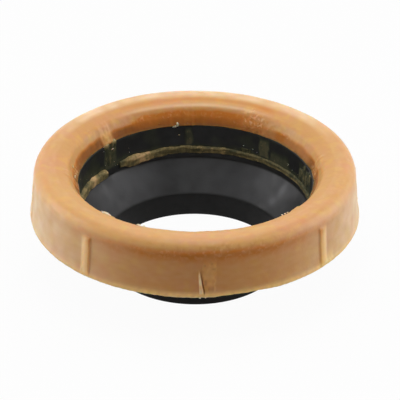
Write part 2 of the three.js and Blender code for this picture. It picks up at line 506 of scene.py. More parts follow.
def plasticMaterial():
    material, tree = newMaterial("blackPlastic")
    look = plasticLook
    patches = placeGroup(tree, mottle, {
        "Main": look["black"], "Warm": look["haze"], "Yellow": look["black"],
        "Patch Scale": look["patchScale"], "Spread": look["spread"]})
    # Smudges, with painted sheen and shade, on the cone.
    smudgedAndLit = layerMix(tree, "smudgeAndSheenShare", patches["Color"], look["scuffed"])
    film = layerShare(tree, "waxFilm")
    smeared = placeGroup(tree, smear, {
        "Amount": film, "Break Up": look["breakUp"], "Specks": look["specks"]})
    covered = rangeNode(tree, film, high=look["filmStart"])
    colour = colourMix(tree, covered, smudgedAndLit, smeared["Color"])
    skin = placeGroup(tree, grain, {"Scale": look["grainScale"], "Fine Share": look["fineShare"]})
    finishMaterial(tree, {
        "Base Color": colour, "Roughness": roughFrom(tree, patches["Mask"], look),
        "Normal": bumpFrom(tree, skin["Height"], look), "Specular IOR Level": look["shine"]})
    return material


turnedSection = turnedSectionTree()
mottle = mottleGroup()
grain = grainGroup()
tornGrains = tornGroup()
smear = smearGroup()
amberWax = waxMaterial("amberWax", waxLook)
paleWax = waxMaterial("paleWax", crumbLook)
squeezedWax = squeezedMaterial()
blackPlastic = plasticMaterial()
print("materials ready")


# The wax ring

ringShape = {
    "skin": 0.15,            # room kept inside the outer size for the hand-cast unevenness
    "crownRadius": 61.9,
    "shoulderRadius": 66.6,
    "shoulderHeight": 17.0,
    "wallFootRadius": 67.65,
    "wallFootHeight": 5.2,
    "footHeight": 0.9,
    "footRound": 0.7,
    "lipRadius": 49.0,
    "lipHeight": 14.6,
    "innerBend": ((53.75, 21.45), (52.5, 20.75), (51.85, 19.5)),
    "lipBend": ((49.55, 15.1), (49.0, 13.95), (48.5, 13.8)),
    "shelfHeight": 13.8,
    "seatRadius": 50.0,
    "grooveRadius": 57.3,
    "grooveBottom": 4.7,
    "grooveTop": 7.1,
    "hiddenRadius": 60.0,    # the groove and the faces towards the horn lie within it
    "turnSteps": 880,
}
crowding = {"samples": 7201, "marks": 1.8, "marksSpread": 3.0, "split": 4.0, "splitSpread": 2.2}
ringRelief = {
    "wave": 0.22,            # slow unevenness of the casting
    "ripple": 0.11,
    "pits": 0.03,
    "lanes": 0.02,           # fine lines drawn out along the ring,
    "lanesInward": 38.0,     # as their noise is read that much nearer the axis
    "crease": 0.05,          # shallow groove where the wall meets the crown
    "creaseHeight": 18.9,
    "creaseAbove": 1.0,      # how softly it ends upwards
    "creaseBelow": 3.3,      # and downwards
    "ridge": 0.10,           # low ridge round the bend at the back, with a groove outside it
    "ridgeRadius": 54.2,
    "ridgeGroove": 55.9,
    "ridgeSoft": 0.8,
    "lipStreaks": 0.07,      # scrapes and lumps on the lip
    "lipLumps": 0.06,
    "tornLumps": 0.16,
    "lipBack": 1.0,          # how far the lip stands back at one place
    "lipBackAzimuth": 98.0,
    "lipBackSpread": 10.0,
    "notch": 0.32,           # how far the foot's lower edge wanders upwards
    "frontNotch": 1.6,       # and how many times as far it does to the right of the split
}
ringPaint = {
    "front": 5.0,            # azimuth of the middle of the dark front wall
    "frontSpread": 45.0,
    "wallAmber": 0.37,       # how much darker and yellower that wall is painted, as shade
    "bloom": 0.40,           # how much paler the walls are painted at the sides, as sheen
    "backBloom": 0.42,       # and the crown at the back, also painted sheen
    "amberTop": 18.2,        # where the inside's painted shade, amber, starts at the sides
    "amberRise": 2.1,        # and how much higher it does at the back
    "rightClear": 0.38,      # how much of that painted shade its right side lacks
    "rightSide": (104.0, 150.0),
    "tongue": -130.5,        # azimuth of the golden wax that ran over the lip
    "tongueSpread": 4.0,
    "brownPatch": 133.5,     # azimuth of a brown patch above the lip
    "brownSpread": 2.5,
    "groove": 147.0,         # azimuth of an orange streak where the groove's painted shade outside the bend is darkest
    "grooveSpread": 5.0,
    "tornFront": 9.0,        # azimuth of the middle of the rough part of the shoulder
    "tornSpread": 22.0,
    "ribHalf": 44.6,         # degrees from the front to the middle of either front rib
    "roughFoot": (46.0, 55.0),    # azimuths of the rough foot by the right front rib
    "ribCrumbs": (50.3, 52.6),    # and of the crumbs on its side
}
layerAmounts = {  # how much each mark adds to each painted layer; groove, trough, crease, cut and ribShade add painted shade, ridge and rib on pale add painted highlights, the pale foot adds painted light
    "amber": {"groove": 0.30, "torn": 0.30, "trough": 0.14, "tornFront": 0.20, "ribShade": 0.40},
    "deep": {"crease": 0.34, "tornFront": 0.12, "cut": 0.70, "patch": 0.35},
    "gold": {"roughFoot": 0.60, "tongue": 0.50, "rib": 1.30, "patch": 0.32, "flank": 0.90},
    "pale": {"ridge": 0.35, "rim": 0.75, "flank": 0.45, "lanes": 0.06, "rib": 0.40, "ribShade": -0.30,
             "foot": 0.16},
    "torn": {"foot": 0.50, "crease": 0.25, "tornFront": 0.32, "roughFoot": 0.60},
}

# Upright marks of the mould on the outer wall, and where wax ran over the lip inside
mouldMarks = namedRows("azimuth rib flow flowWidth", [
    (-176.5, 0.75, 0.2, 7.0),
    (-129.6, 0.75, 0.45, 9.0),
    (-82.0, 0.35, 0.5, 7.0),
    (-39.5, 0.80, 0.6, 6.0),
    (4.0, 0.0, 0.3, 7.0),
    (49.4, 0.65, 0.5, 6.0),
    (96.0, 0.40, 0.5, 8.0),
    (142.3, 0.75, 0.1, 9.0),
    (152.0, 0.0, 0.2, 10.0),
])
ribShape = {"width": 5.4, "bottom": 0.6, "top": 18.2, "slope": 2.8, "soft": 1.0, "trough": 0.04}
# Where the wax of the lip is torn and grainy. Spread is degrees either way, low and high are heights.
tornMarks = namedRows("azimuth spread low high amount", [
    (151.5, 6.5, 15.0, 22.2, 0.85),
    (171.0, 6.0, 16.5, 19.6, 0.22),
    (-166.0, 13.0, 16.6, 20.0, 0.30),
    (-150.0, 9.0, 16.8, 19.4, 0.40),
    (-131.0, 5.0, 13.8, 18.4, 0.2),
    (133.0, 9.0, 16.0, 18.6, 0.25),
    (97.0, 6.0, 13.6, 17.4, 0.6),
    (-95.0, 6.0, 13.6, 17.4, 0.6),
    (5.0, 50.0, 19.6, 22.0, 0.35),
])
frontSplit = {"azimuth": 1.9, "top": 12.2, "bottom": 2.4, "lean": 1.5, "width": 0.45, "depth": 0.6,
              "flank": 0.60, "flankWidth": 1.3}
frontFlake = {"azimuth": 5.0, "width": 5.3, "bottom": 2.6, "top": 16.5, "proud": 0.40, "ragged": 0.9}
frontHollow = {"azimuth": -0.2, "width": 2.6, "low": 5.0, "high": 14.5, "depth": 0.18}


def ringOutline():
    shape = ringShape
    outer = waxRadius - shape["skin"]
    top = waxHeight - shape["skin"]
    crown = shape["crownRadius"]
    lip = shape["lipRadius"]
    seat = shape["seatRadius"]
    shelf = shape["shelfHeight"]
    footRound = shape["footRound"]
    wallFoot = (shape["wallFootRadius"], shape["wallFootHeight"])
    flare = [(wallFoot[0] + (outer - wallFoot[0]) * float(smoothStep(1 - step / 6)),
              shape["footHeight"] + (wallFoot[1] - shape["footHeight"]) * step / 6) for step in range(6)]
    return [
        *linePoints((seat, 0.0), (outer - footRound, 0.0), 4),
        *arcPoints((outer - footRound, footRound), (footRound, footRound), -90, 0, 4),
        *flare,
        *linePoints(wallFoot, (shape["shoulderRadius"], shape["shoulderHeight"]), 16),
        *arcPoints((crown, shape["shoulderHeight"]),
                   (shape["shoulderRadius"] - crown, top - shape["shoulderHeight"]), 0, 90, 17),
        *arcPoints((crown, shape["lipHeight"]), (crown - lip, top - shape["lipHeight"]), 90, 128, 17)[1:],
        *bendPoints(shape["innerBend"], 8),
        *linePoints(shape["innerBend"][2], shape["lipBend"][0], 18),
        *bendPoints(shape["lipBend"], 6),
        *linePoints(shape["lipBend"][2], (seat, shelf), 3),
        (seat, shelf),
        (seat, shape["grooveTop"]),
        (shape["grooveRadius"], shape["grooveTop"]),
        (shape["grooveRadius"], shape["grooveBottom"]),
        (seat, shape["grooveBottom"]),
    ]


def crowdAzimuths(azimuth):
    # Draws the upright rows of points together where the marks need more of them.
    fine = np.linspace(-180.0, 180.0, crowding["samples"])
    density = np.ones_like(fine)
    for mark in mouldMarks:
        density += crowding["marks"] * bell(azimuthGap(fine, mark["azimuth"]), crowding["marksSpread"])
    fromSplit = azimuthGap(fine, frontSplit["azimuth"] + 1.0)
    density += crowding["split"] * bell(fromSplit, crowding["splitSpread"])
    place = np.concatenate([[0.0], np.cumsum((density[1:] + density[:-1]) / 2)])
    return np.interp(azimuth, place / place[-1] * 360.0 - 180.0, fine)


def sideways(azimuth, centre, radius):  # millimetres round the ring from an azimuth
    return np.radians(azimuthGap(azimuth, centre)) * radius


def ribShares(azimuth, radius, height, points):
    # How much of a rib, and of the trough on its front side, there is at each point.
    rib = np.zeros_like(azimuth)
    trough = np.zeros_like(azimuth)
    half = ribShape["width"] / 2
    ragged = noiseAt(points, 2.4 * mm, 3)
    upright = window(height + 0.3 * ragged, ribShape["bottom"], ribShape["top"], 2.0, 1.4)
    strength = 0.9 + 0.2 * noiseAt(points, 5 * mm, 8)
    for mark in mouldMarks:
        towardsFront = -1 if mark["azimuth"] > 0 else 1
        side = sideways(azimuth, mark["azimuth"], radius) * towardsFront + 0.2 * ragged
        bump = window(side, -half, half, ribShape["slope"], ribShape["soft"])
        rib += mark["rib"] * strength * upright * bump
        trough += mark["rib"] * upright * window(side, half - 0.3, half + 1.3, 0.4, 1.0)
    return rib, trough


def splitShares(azimuth, radius, height, points):
    # The front split's cut, the raised flank beside it, the flake and the hollow, 0 to 1 each.
    split, flake, dip = frontSplit, frontFlake, frontHollow
    side = sideways(azimuth, split["azimuth"], radius)
    down = np.clip((split["top"] - height) / (split["top"] - split["bottom"]), 0.0, 1.0)
    centre = split["lean"] * down + 0.12 * noiseAt(points, 2.0 * mm, 14)
    reach = window(height, split["bottom"] - 0.8, split["top"], 0.8, 3.0)
    left = centre - split["width"] / 2
    right = centre + split["width"] / 2
    cut = reach * window(side, left, right + 0.4 * down, 0.25, 0.3)
    flank = reach * window(side, left - 0.5 - split["flankWidth"] * down, left + 0.1, 0.6, 0.3)
    ragged = noiseAt(points, 1.8 * mm, 12) * flake["ragged"]
    side = sideways(azimuth, flake["azimuth"], radius) + ragged
    patch = window(side, -flake["width"] / 2, flake["width"] / 2, 0.5, 0.6)
    patch *= window(height + ragged, flake["bottom"], flake["top"], 1.0, 2.4)
    patch *= 0.8 + 0.5 * noiseAt(points, 1.2 * mm, 13)
    side = sideways(azimuth, dip["azimuth"], radius)
    hollow = window(side, -dip["width"] / 2, dip["width"] / 2, 0.8, 0.5)
    hollow *= window(height, dip["low"], dip["high"], 1.5, 1.5)
    return cut, flank, patch, hollow


def flowShare(azimuth, radius, ragged):
    # Where wax ran over the lip at the marks, in millimetres of thickness.
    flow = np.zeros_like(azimuth)
    for mark in mouldMarks:
        half = mark["flowWidth"] / 2
        side = sideways(azimuth, mark["azimuth"], radius)
        flow += mark["flow"] * window(side + 0.6 * ragged, -half, half, half * 0.5, half * 0.5)
    return flow


def tornShare(azimuth, height):
    share = np.zeros_like(azimuth)
    for mark in tornMarks:
        near = bell(azimuthGap(azimuth, mark["azimuth"]), mark["spread"])
        share += mark["amount"] * near * window(height, mark["low"], mark["high"], 0.8, 1.0)
    return np.clip(share, 0.0, 1.0)


def setLayer(mesh, name, values):
    layer = mesh.attributes.new(name, "FLOAT", "POINT")
    layer.data.foreach_set("value", np.clip(values, 0.0, 1.0))


def ringMarks(azimuth, radius, height, points):
    # Where each point lies on the ring, and how much of each mark there is at it.
    relief = ringRelief
    shelf = ringShape["shelfHeight"]
    behind = (radius > ringShape["seatRadius"] - 0.8) | (height < shelf - 0.05)
    hidden = (radius < ringShape["hiddenRadius"]) & (height < shelf + 0.05) & behind
    at = SimpleNamespace()
    at.soft = noiseAt(points, 5.0 * mm, 10)
    at.small = noiseAt(points, 1.7 * mm, 22)
    lipLine = fromRing(azimuth, radius * 0 + ringShape["lipRadius"], height * 0.15)
    at.streaks = noiseAt(lipLine, 1.3 * mm, 21)    # upright ones
    at.lanes = noiseAt(fromRing(azimuth, radius - relief["lanesInward"], height), 1.6 * mm, 64)
    at.fromBack = np.abs(azimuthGap(azimuth, 180.0))
    at.fromFront = np.abs(azimuthGap(azimuth, ringPaint["front"]))
    at.seen = np.where(hidden, 0.0, smoothStep((height - 0.4) / 1.2))
    at.wall = smoothStep((radius - 62.5) / 1.5) * at.seen
    at.inner = smoothStep(58.0 - radius) * smoothStep((height - 13.2) / 0.8)
    at.lip = at.inner * smoothStep((55.5 - radius) / 4.0)
    at.bend = at.inner * smoothStep((44.0 - at.fromBack) / 22.0)
    at.rib, at.trough = ribShares(azimuth, radius, height, points)
    at.cut, at.flank, at.patch, at.hollow = splitShares(azimuth, radius, height, points)
    at.flow = flowShare(azimuth, radius, at.streaks)
    at.torn = np.clip(tornShare(azimuth, height) * (0.9 + 0.5 * at.soft), 0, 1) * at.inner
    at.creaseUp = height - relief["creaseHeight"] - 0.5 * noiseAt(points, 12 * mm, 9)
    softness = np.where(at.creaseUp > 0, relief["creaseAbove"], relief["creaseBelow"])
    at.crease = at.wall * bell(at.creaseUp, softness)
    return at


def ringLift(radius, points, at):
    # How far each point moves along its normal, in millimetres.
    relief = ringRelief
    uneven = relief["wave"] * noiseAt(points, 34 * mm, 1) + relief["ripple"] * noiseAt(points, 10 * mm, 2)
    uneven += relief["pits"] * noiseAt(points, 2.4 * mm, 5) + relief["lanes"] * at.lanes
    moulded = at.rib - at.trough * ribShape["trough"] + at.flank * frontSplit["flank"]
    moulded += at.patch * frontFlake["proud"] - at.cut * frontSplit["depth"]
    moulded -= at.hollow * frontHollow["depth"]
    ridge = bell(radius - relief["ridgeRadius"], relief["ridgeSoft"])
    ridge -= bell(radius - relief["ridgeGroove"], relief["ridgeSoft"])
    scraped = relief["lipStreaks"] * at.streaks + relief["lipLumps"] * at.small
    scraped += relief["tornLumps"] * at.torn * (at.small + 0.6 * at.soft)
    ran = at.flow * (0.8 + 0.12 * at.streaks + 0.25 * at.small)
    crease = relief["crease"] * at.crease * (1 - 0.8 * at.soft)
    return (at.seen * uneven + at.wall * moulded + at.bend * relief["ridge"] * ridge
            + at.lip * (scraped + ran) - crease)


def trimRing(azimuth, radius, height, at):
    # Sets the lip back at one place, roughens the foot's lower edge and keeps within the real size.
    relief = ringRelief
    back = relief["lipBack"] * bell(azimuthGap(azimuth, relief["lipBackAzimuth"]), relief["lipBackSpread"])
    radius = radius + back * smoothStep((18.5 - height) / 4.0) * at.inner
    edge = smoothStep((radius - 63.0) / 4.0) * smoothStep((3.0 - height) / 3.0)
    along = fromRing(azimuth, radius * 0 + waxRadius, height * 0)
    rise = np.maximum(0.0, 0.2 + 0.5 * noiseAt(along, 8 * mm, 31) + 0.6 * noiseAt(along, 1.6 * mm, 32))
    rise += relief["frontNotch"] * window(azimuth, 6.0, 30.0, 4.0, 8.0)
    height = height + edge * rise * relief["notch"]
    return azimuth, np.minimum(radius, waxRadius), np.clip(height, 0.0, waxHeight)


def addUp(layer, **marks):
    return sum(layerAmounts[layer][name] * share for name, share in marks.items())


# Painted shade on the half of each front rib that faces the split, the side turned towards the dark room
# ahead.
def ribShade(at):  # the half of each front rib that faces the split
    return at.rib * at.wall * smoothStep((ringPaint["ribHalf"] - at.fromFront) / 1.3)


def tornShoulder(azimuth, radius, height):
    near = bell(azimuthGap(azimuth, ringPaint["tornFront"]), ringPaint["tornSpread"])
    return near * window(height, 18.6, 23.0, 1.2, 1.5) * smoothStep((radius - 60.0) / 3.0)


def paintInside(mesh, azimuth, radius, height, at):
    # Painted shade: the inside, the crease and the dark front wall are painted amber and dark where little
    # light reaches them. The brown patch above the lip and the orange of torn wax are the wax's own colour.
    paint = ringPaint
    back = smoothStep((38.0 - at.fromBack) / 16.0)
    front = bell(at.fromFront, paint["frontSpread"])
    below = paint["amberTop"] + paint["amberRise"] * back - height + 0.5 * at.soft + 0.16 * at.streaks
    # How much of the inside takes the painted shade: less where the wax is torn, where it ran over the lip,
    # and on the right side.
    uncovered = at.inner * (1.0 - 0.7 * at.torn) * (1.0 - 0.5 * np.minimum(at.flow, 1.0))
    uncovered *= 1.0 - 0.7 * bell(azimuthGap(azimuth, paint["tongue"]), paint["tongueSpread"])
    uncovered *= 1.0 - paint["rightClear"] * window(azimuth, *paint["rightSide"], 5.0, 7.0)
    brown = bell(azimuthGap(azimuth, paint["brownPatch"]), paint["brownSpread"]) * at.inner
    brown *= window(height, 14.0, 17.6, 0.8, 1.0)
    # Painted shade along the groove outside the bend at the back, strongest with an orange streak at one
    # azimuth.
    darkest = bell(azimuthGap(azimuth, paint["groove"]), paint["grooveSpread"]) * at.inner
    groove = bell(height - 22.4, 0.35) * at.bend + 1.5 * bell(height - 22.2, 0.5) * darkest
    tornFront = tornShoulder(azimuth, radius, height)
    # Amber: painted shade inside below the bend, in the crease, over the front wall, in the groove and the
    # rib troughs, and on the rib halves facing the front; the brown patch and the orange of torn wax are
    # own colour.
    setLayer(mesh, "waxAmber", uncovered * smoothStep(below / 1.4) + brown
             + at.crease * (0.12 + 0.88 * front) * (0.95 + 0.5 * at.small)
             + paint["wallAmber"] * at.wall * front * window(height, 2.0, 20.0, 2.0, 3.0)
             + addUp("amber", groove=groove, torn=at.torn, trough=at.trough * at.wall,
                     ribShade=ribShade(at), tornFront=tornFront * smoothStep((-at.small - 0.05) / 0.4)))
    # Darker painted shade just above the lip, over a wider band at the back.
    deep = smoothStep((below - 0.3 - 0.9 * back) / (1.9 + 2.4 * back)) * (1.0 - 0.30 * back)
    deep += 0.3 * smoothStep((15.2 - height) / 1.2)
    # Painted shade on the underside of the lip's edge.
    underLip = 0.85 * smoothStep((14.6 - height) / 0.7) * at.inner
    # More painted shade in the crease and the split's cut; the flake's dark specks are its own colour.
    setLayer(mesh, "waxDeep", np.maximum(uncovered * deep * (0.95 + 0.14 * at.streaks), underLip)
             + addUp("deep", crease=at.crease * front * smoothStep(0.2 - at.creaseUp),
                     cut=at.cut * at.wall, tornFront=tornFront * smoothStep((-at.small - 0.15) / 0.3),
                     patch=at.patch * at.wall * smoothStep((-at.small - 0.25) / 0.2)))


def paintOutside(mesh, azimuth, radius, height, at):
    # The golden and pale wax of the marks, the foot and the walls, and where the wax is torn. Part of it is
    # painted light: gold on the foot and the front shoulder, sheen on the walls at the sides and the crown
    # at the back, highlights on the bend's ridge and the rib crests.
    paint = ringPaint
    front = bell(at.fromFront, paint["frontSpread"])
    # The foot band is painted paler and more golden, partly as thin wax and partly as painted light, most
    # at the front.
    foot = window(height, -1.0, 3.1, 0.5, 2.0) * smoothStep((radius - 60.0) / 3.0)
    roughFoot = window(azimuth, *paint["roughFoot"], 1.2, 1.5) * at.wall
    roughFoot *= window(height, -1.0, 6.5, 0.5, 3.5)
    tongue = bell(azimuthGap(azimuth, paint["tongue"]), paint["tongueSpread"]) * at.inner
    tongue *= window(height, 13.6, 19.0, 0.8, 3.0)
    # Painted light on the front shoulder, which the lamps leave darker.
    shoulder = smoothStep((height - 19.6) / 1.2) * smoothStep((radius - 55.0) / 4.0)
    shoulder *= bell(at.fromFront, 55.0) * (0.03 + 0.20 * window(height, 19.6, 23.0, 1.2, 1.0))
    setLayer(mesh, "waxGold", foot * (0.45 + 0.5 * front) * (0.95 + 0.6 * at.small) + shoulder
             + addUp("gold", roughFoot=roughFoot, tongue=tongue, rib=at.rib * at.wall,
                     patch=at.patch * at.wall * (1 + at.small), flank=at.flank * at.wall))
    # Painted highlight along the low ridge round the bend at the back.
    ridge = bell(height - 21.2, 0.45) * at.bend
    rim = smoothStep((0.9 - height) / 0.7) * smoothStep(radius - 66.0)
    # Painted sheen: the walls at the sides and the crown at the back are painted paler.
    sides = smoothStep((at.fromFront - 15.0) / 65.0) * smoothStep((21.5 - height) / 3.0) * at.wall
    backCrown = smoothStep((75.0 - at.fromBack) / 30.0) * smoothStep((radius - 57.0) / 3.0)
    bloom = paint["bloom"] * sides + paint["backBloom"] * backCrown
    # The rib crests get a painted highlight, less on the half that faces the front.
    setLayer(mesh, "waxPale", np.minimum(bloom, paint["backBloom"]) * (1 + 0.6 * at.soft)
             + addUp("pale", ridge=ridge, rim=rim * (0.8 + 0.8 * at.small), foot=foot * front,
                     flank=at.flank * at.wall * (1 + at.small), ribShade=ribShade(at),
                     rib=at.rib * at.wall * smoothStep((at.rib - 0.5) / 0.2),
                     lanes=(1 + at.lanes) * at.seen * (1 - at.inner)))
    setLayer(mesh, "waxTorn", at.torn
             + addUp("torn", foot=foot * front, crease=at.crease * front, roughFoot=roughFoot,
                     tornFront=tornShoulder(azimuth, radius, height)))
    lowerLip = window(height, 12.0, 16.6, 0.5, 2.2) * at.lip
    onRib = window(azimuth, *paint["ribCrumbs"], 0.4, 0.6) * window(height, 0.8, 9.0, 0.5, 2.0) * at.wall
    crumbly = 0.02 + 0.25 * at.torn + 0.35 * np.minimum(at.flow, 1.0)
    setLayer(mesh, "crumbShare", lowerLip * crumbly + 0.6 * onRib)


def sculptRing(mesh):
    azimuth, radius, height = toRing(readPoints(mesh))
    azimuth = crowdAzimuths(azimuth)
    points = fromRing(azimuth, radius, height)
    writePoints(mesh, points)
    at = ringMarks(azimuth, radius, height, points)
    moved = points + readNormals(mesh) * (ringLift(radius, points, at) * mm)[:, None]
    azimuth, radius, height = trimRing(*toRing(moved), at)
    writePoints(mesh, fromRing(azimuth, radius, height))
    paintInside(mesh, azimuth, radius, height, at)
    paintOutside(mesh, azimuth, radius, height, at)


waxRing = turnedPiece("waxRing", ringOutline(), amberWax, ringShape["turnSteps"], start=-180.0)
sculptRing(waxRing.data)
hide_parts("wax_ring")
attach(waxRing, "root")
print("wax ring:", len(waxRing.data.polygons), "faces")


# The horn

hornShape = {
    "wall": 1.3,
    "edge": 0.35,            # rounding of its rims and bends
    "collarRadius": 48.4,
    "collarHeight": 13.5,
    "coneTop": -1.9,
    "coneBottom": -14.4,
    "neckTopRadius": 37.5,
    "neckBottomRadius": 35.5,
    "flangeRadius": 57.0,
    "flangeHeight": 5.0,
    "flangeThickness": 1.8,
    "rowHeight": 0.45,
    "turnSteps": 640,
}


def roundedCorners(corners, reach, steps):
    # Each corner becomes a small bend that starts and ends at this reach from it.
    outline = []
    count = len(corners)
    for i, corner in enumerate(corners):
        here = Vector(corner)
        before = Vector(corners[i - 1])
        after = Vector(corners[(i + 1) % count])
        start = here + (before - here).normalized() * min(reach, (before - here).length * 0.45)
        end = here + (after - here).normalized() * min(reach, (after - here).length * 0.45)
        outline += [tuple(start), *bendPoints((start, here, end), steps)]
    return outline


def hornOutline():
    shape = hornShape
    wall = shape["wall"]
    drop = -waxBase
    coneHeight = shape["coneTop"] - shape["coneBottom"]
    slope = math.atan2(coneHeight, shape["collarRadius"] - shape["neckTopRadius"])
    below = wall * math.tan((math.pi / 2 - slope) / 2)
    collarOut = shape["collarRadius"] + wall
    flangeTop = shape["flangeHeight"] + shape["flangeThickness"]
    corners = [
        (shape["neckBottomRadius"] + wall, drop),
        (shape["neckTopRadius"] + wall, shape["coneBottom"] - below),
        (collarOut, shape["coneTop"] - below),
        (collarOut, shape["flangeHeight"]),
        (shape["flangeRadius"], shape["flangeHeight"]),
        (shape["flangeRadius"], flangeTop),
        (collarOut, flangeTop),
        (collarOut, shape["collarHeight"]),
        (shape["collarRadius"], shape["collarHeight"]),
        (shape["collarRadius"], shape["coneTop"]),
        (shape["neckTopRadius"], shape["coneBottom"]),
        (shape["neckBottomRadius"], drop),
    ]
    return roundedCorners(corners, shape["edge"], 3)


def moreRows(outline, length):
    # Splits the long stretches that show, so that what is painted on the points shows.
    rows = []
    for i, start in enumerate(outline):
        end = outline[(i + 1) % len(outline)]
        inside = max(start[0], end[0]) <= hornShape["collarRadius"] + 0.01
        span = math.hypot(end[0] - start[0], end[1] - start[1])
        rows += linePoints(start, end, max(1, round(span / length)) if inside else 1)
    return rows


# Thin films of wax left on the collar's face: where, and how strong
filmMarks = namedRows("azimuth width low high amount", [
    (-176.5, 3.9, 3.6, 12.6, 0.50),
    (-131.0, 7.6, 1.5, 13.5, 0.46),
    (-113.0, 16.0, 2.0, 9.0, 0.24),
    (-95.0, 9.0, 2.0, 13.0, 0.16),
    (-39.5, 7.0, 1.0, 13.0, 0.35),
    (4.0, 7.0, 1.0, 13.0, 0.30),
    (48.7, 7.0, 1.0, 13.0, 0.35),
    (106.0, 15.0, 0.5, 12.0, 0.24),
    (131.0, 12.0, 2.0, 8.6, 0.42),
    (142.3, 5.8, 3.4, 13.0, 0.56),
    (158.0, 16.0, 2.0, 5.6, 0.26),
    (-155.0, 22.0, 1.5, 5.0, 0.22),
])
filmBase = {"broad": 0.26, "foot": 0.28, "ragged": 0.25}    # thin wax all over, and more above the bead

# Paler and darker marks on the cone's face, partly smudges and partly painted sheen at its sides and
# painted shade at its back: how wide round it and how tall, and how strong
smudgeAndSheenMarks = namedRows("azimuth height wide tall amount", [
    (-141.0, -6.5, 14.0, 5.0, 0.28),
    (-165.0, -8.0, 5.0, 9.0, -0.25),
    (175.0, -8.0, 26.0, 12.0, -0.14),
    (168.0, -8.0, 6.0, 4.0, 0.08),
    (140.0, -7.0, 12.0, 6.0, 0.20),
    (124.4, -5.2, 1.8, 2.6, 0.60),
    (126.4, -10.2, 2.2, 1.5, 0.75),
    (108.0, -5.0, 7.0, 6.0, -0.35),
])
# Painted light: the whole cone a little paler, unevenly.
smudgeAndSheenBase = {"level": 0.34, "broad": 0.12, "small": 0.10}


def paintHorn(mesh):
    points = readPoints(mesh)
    azimuth, radius, height = toRing(points)
    onCollar = bell(radius - hornShape["collarRadius"], 0.5) * smoothStep(height + 1.5)
    ragged = noiseAt(points, 2.6 * mm, 41)
    broad = np.maximum(0.0, noiseAt(points, 6.0 * mm, 42))
    foot = window(height + 0.8 * ragged, 1.0, 5.6, 1.0, 2.0)
    film = filmBase["broad"] * broad + (filmBase["foot"] + filmBase["ragged"] * ragged) * foot
    for mark in filmMarks:
        half = mark["width"] / 2 + 0.4
        patch = window(sideways(azimuth, mark["azimuth"], radius) + ragged, -half, half, 1.4, 1.4)
        patch *= window(height + 0.8 * ragged, mark["low"] - 0.8, mark["high"] + 1.2, 1.6, 3.6)
        film = np.maximum(film, mark["amount"] * patch)
    setLayer(mesh, "waxFilm", film * onCollar)
    # Smudges on the cone, with painted sheen at its sides and painted shade at its back.
    onCone = window(height, hornShape["coneBottom"], hornShape["coneTop"], 1.0, 0.6)
    onCone *= radius < hornShape["collarRadius"] + 0.1
    smudgeAndSheen = smudgeAndSheenBase["level"] + smudgeAndSheenBase["broad"] * noiseAt(points, 16.0 * mm, 44)
    smudgeAndSheen += smudgeAndSheenBase["small"] * noiseAt(points, 5.0 * mm, 45)
    for mark in smudgeAndSheenMarks:
        near = bell(sideways(azimuth, mark["azimuth"], radius), mark["wide"])
        smudgeAndSheen += mark["amount"] * near * bell(height - mark["height"], mark["tall"])
    setLayer(mesh, "smudgeAndSheenShare", smudgeAndSheen * onCone)
    setLayer(mesh, "crumbShare", onCollar * (0.01 + 0.4 * film) * smoothStep((13.2 - height) / 0.5))


hornRows = moreRows(hornOutline(), hornShape["rowHeight"])
horn = turnedPiece("hornSleeve", hornRows, blackPlastic, hornShape["turnSteps"])
paintHorn(horn.data)
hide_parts("horn")
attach(horn, "root")
print("horn:", len(horn.data.polygons), "faces")


# The bead of wax squeezed out round the foot of the collar

beadShape = {
    "root": 0.15,            # how far its back goes into the collar
    "ridge": 0.18,           # ridges along its upper and lower edges
    "breakAzimuth": -132.1,
    "breakWidth": 10.4,      # degrees
    "turnSteps": 900,
    "roundSteps": 20,
}
beadRun = [  # azimuth, height of its middle, half its height, how far it stands out, how golden it looks
    (-180.0, 2.0, 1.75, 1.35, 0.74),
    (-166.0, 1.9, 1.75, 1.25, 0.73),
    (-154.0, 1.1, 2.30, 1.45, 0.86),
    (-145.0, 0.8, 2.60, 1.45, 0.88),
    (-138.0, 1.0, 1.60, 0.90, 0.66),
    (-127.0, 0.4, 2.10, 1.60, 0.80),
    (-114.0, 0.6, 2.60, 1.90, 0.82),
    (-95.0, 1.0, 2.20, 1.50, 0.78),
    (-60.0, 1.4, 1.80, 1.20, 0.72),
    (60.0, 1.4, 1.80, 1.20, 0.72),
    (95.0, 1.7, 1.50, 0.95, 0.66),
    (130.0, 1.9, 1.45, 0.90, 0.67),
    (160.0, 2.0, 1.55, 1.10, 0.70),
    (180.0, 2.0, 1.75, 1.35, 0.74),
]
beadBlobs = [  # paler and darker spots along it, the first a painted highlight on its thick left part: azimuth, degrees either way, how much paler
    (-114.5, 2.2, 0.30),
    (-150.0, 3.0, 0.15),
    (-106.0, 2.0, -0.15),
]


def beadOutline():
    back = hornShape["collarRadius"] + beadShape["root"]
    return arcPoints((back, 0.0), (1.0, 1.0), 90, 270, beadShape["roundSteps"])


